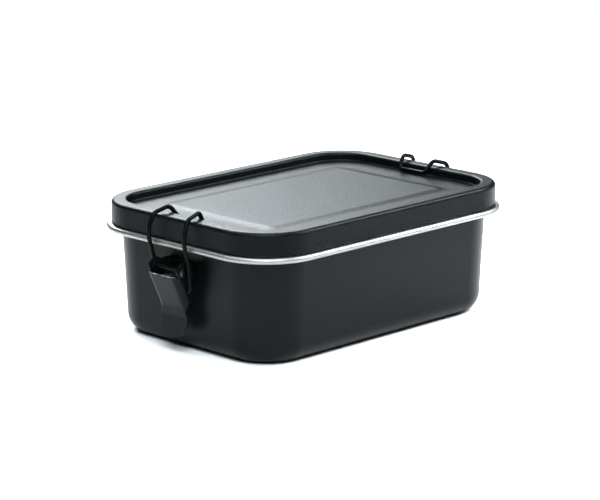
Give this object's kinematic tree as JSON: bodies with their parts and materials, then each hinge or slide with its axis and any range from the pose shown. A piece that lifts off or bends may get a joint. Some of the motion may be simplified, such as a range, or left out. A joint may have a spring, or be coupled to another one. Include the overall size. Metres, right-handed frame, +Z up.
{
  "type": "metal lunch box",
  "caption": "Rounded rectangular metal food box with a rolled rim, a lift-off lid with a raised edge and soft seal, and a wire bail latch with a folded lever at each end.",
  "frame": {"origin": "centre of the flat base, on the surface the box stands on", "axes": "+Z up out of the base, X along the length between the two latches, Y across the width"},
  "size_m": [0.182, 0.12, 0.0656],
  "materials": {
    "black_steel": "semi-gloss black coating with a fine grain over stainless sheet, the rolled rim and the inside left bare",
    "black_lid": "semi-gloss black coating with a fine grain over stainless sheet",
    "seal_silicone": "soft black silicone",
    "dark_latch": "black coated folded sheet with bare bright cut edges",
    "bare_steel": "dull dark steel",
    "latch_wire": "black coated steel wire"
  },
  "bodies": {
    "box": {"tub": "black_steel", "left_bracket": "dark_latch", "right_bracket": "dark_latch", "left_pin": "bare_steel", "right_pin": "bare_steel"},
    "lid": {"lid": "black_lid", "lid_seal": "seal_silicone"},
    "left_lever": {"left_lever": "dark_latch"},
    "right_lever": {"right_lever": "dark_latch"},
    "left_bail": {"left_bail": "latch_wire"},
    "right_bail": {"right_bail": "latch_wire"}
  },
  "joints": [
    {"name": "lid_lift", "type": "slide", "parent": "box", "child": "lid", "axis": [0, 0, 1], "range_m": [0, 0.16]},
    {"name": "left_lever_hinge", "type": "hinge", "parent": "box", "child": "left_lever", "pos_m": [-0.0858, 0, 0.0392], "axis": [0, 1, 0], "range_deg": [0, 112]},
    {"name": "right_lever_hinge", "type": "hinge", "parent": "box", "child": "right_lever", "pos_m": [0.0858, 0, 0.0392], "axis": [0, -1, 0], "range_deg": [0, 112]},
    {"name": "left_bail_hinge", "type": "hinge", "parent": "left_lever", "child": "left_bail", "pos_m": [-0.0836, 0, 0.03], "axis": [0, -1, 0], "range_deg": [0, 242]},
    {"name": "right_bail_hinge", "type": "hinge", "parent": "right_lever", "child": "right_bail", "pos_m": [0.0836, 0, 0.03], "axis": [0, 1, 0], "range_deg": [0, 242]}
  ],
  "couplings": [
    {"joint": "left_lever_hinge", "follows": "lid_lift", "rad_per_m": 12},
    {"joint": "right_lever_hinge", "follows": "lid_lift", "rad_per_m": 12},
    {"joint": "left_bail_hinge", "follows": "lid_lift", "rad_per_m": 26.2},
    {"joint": "right_bail_hinge", "follows": "lid_lift", "rad_per_m": 26.2}
  ]
}
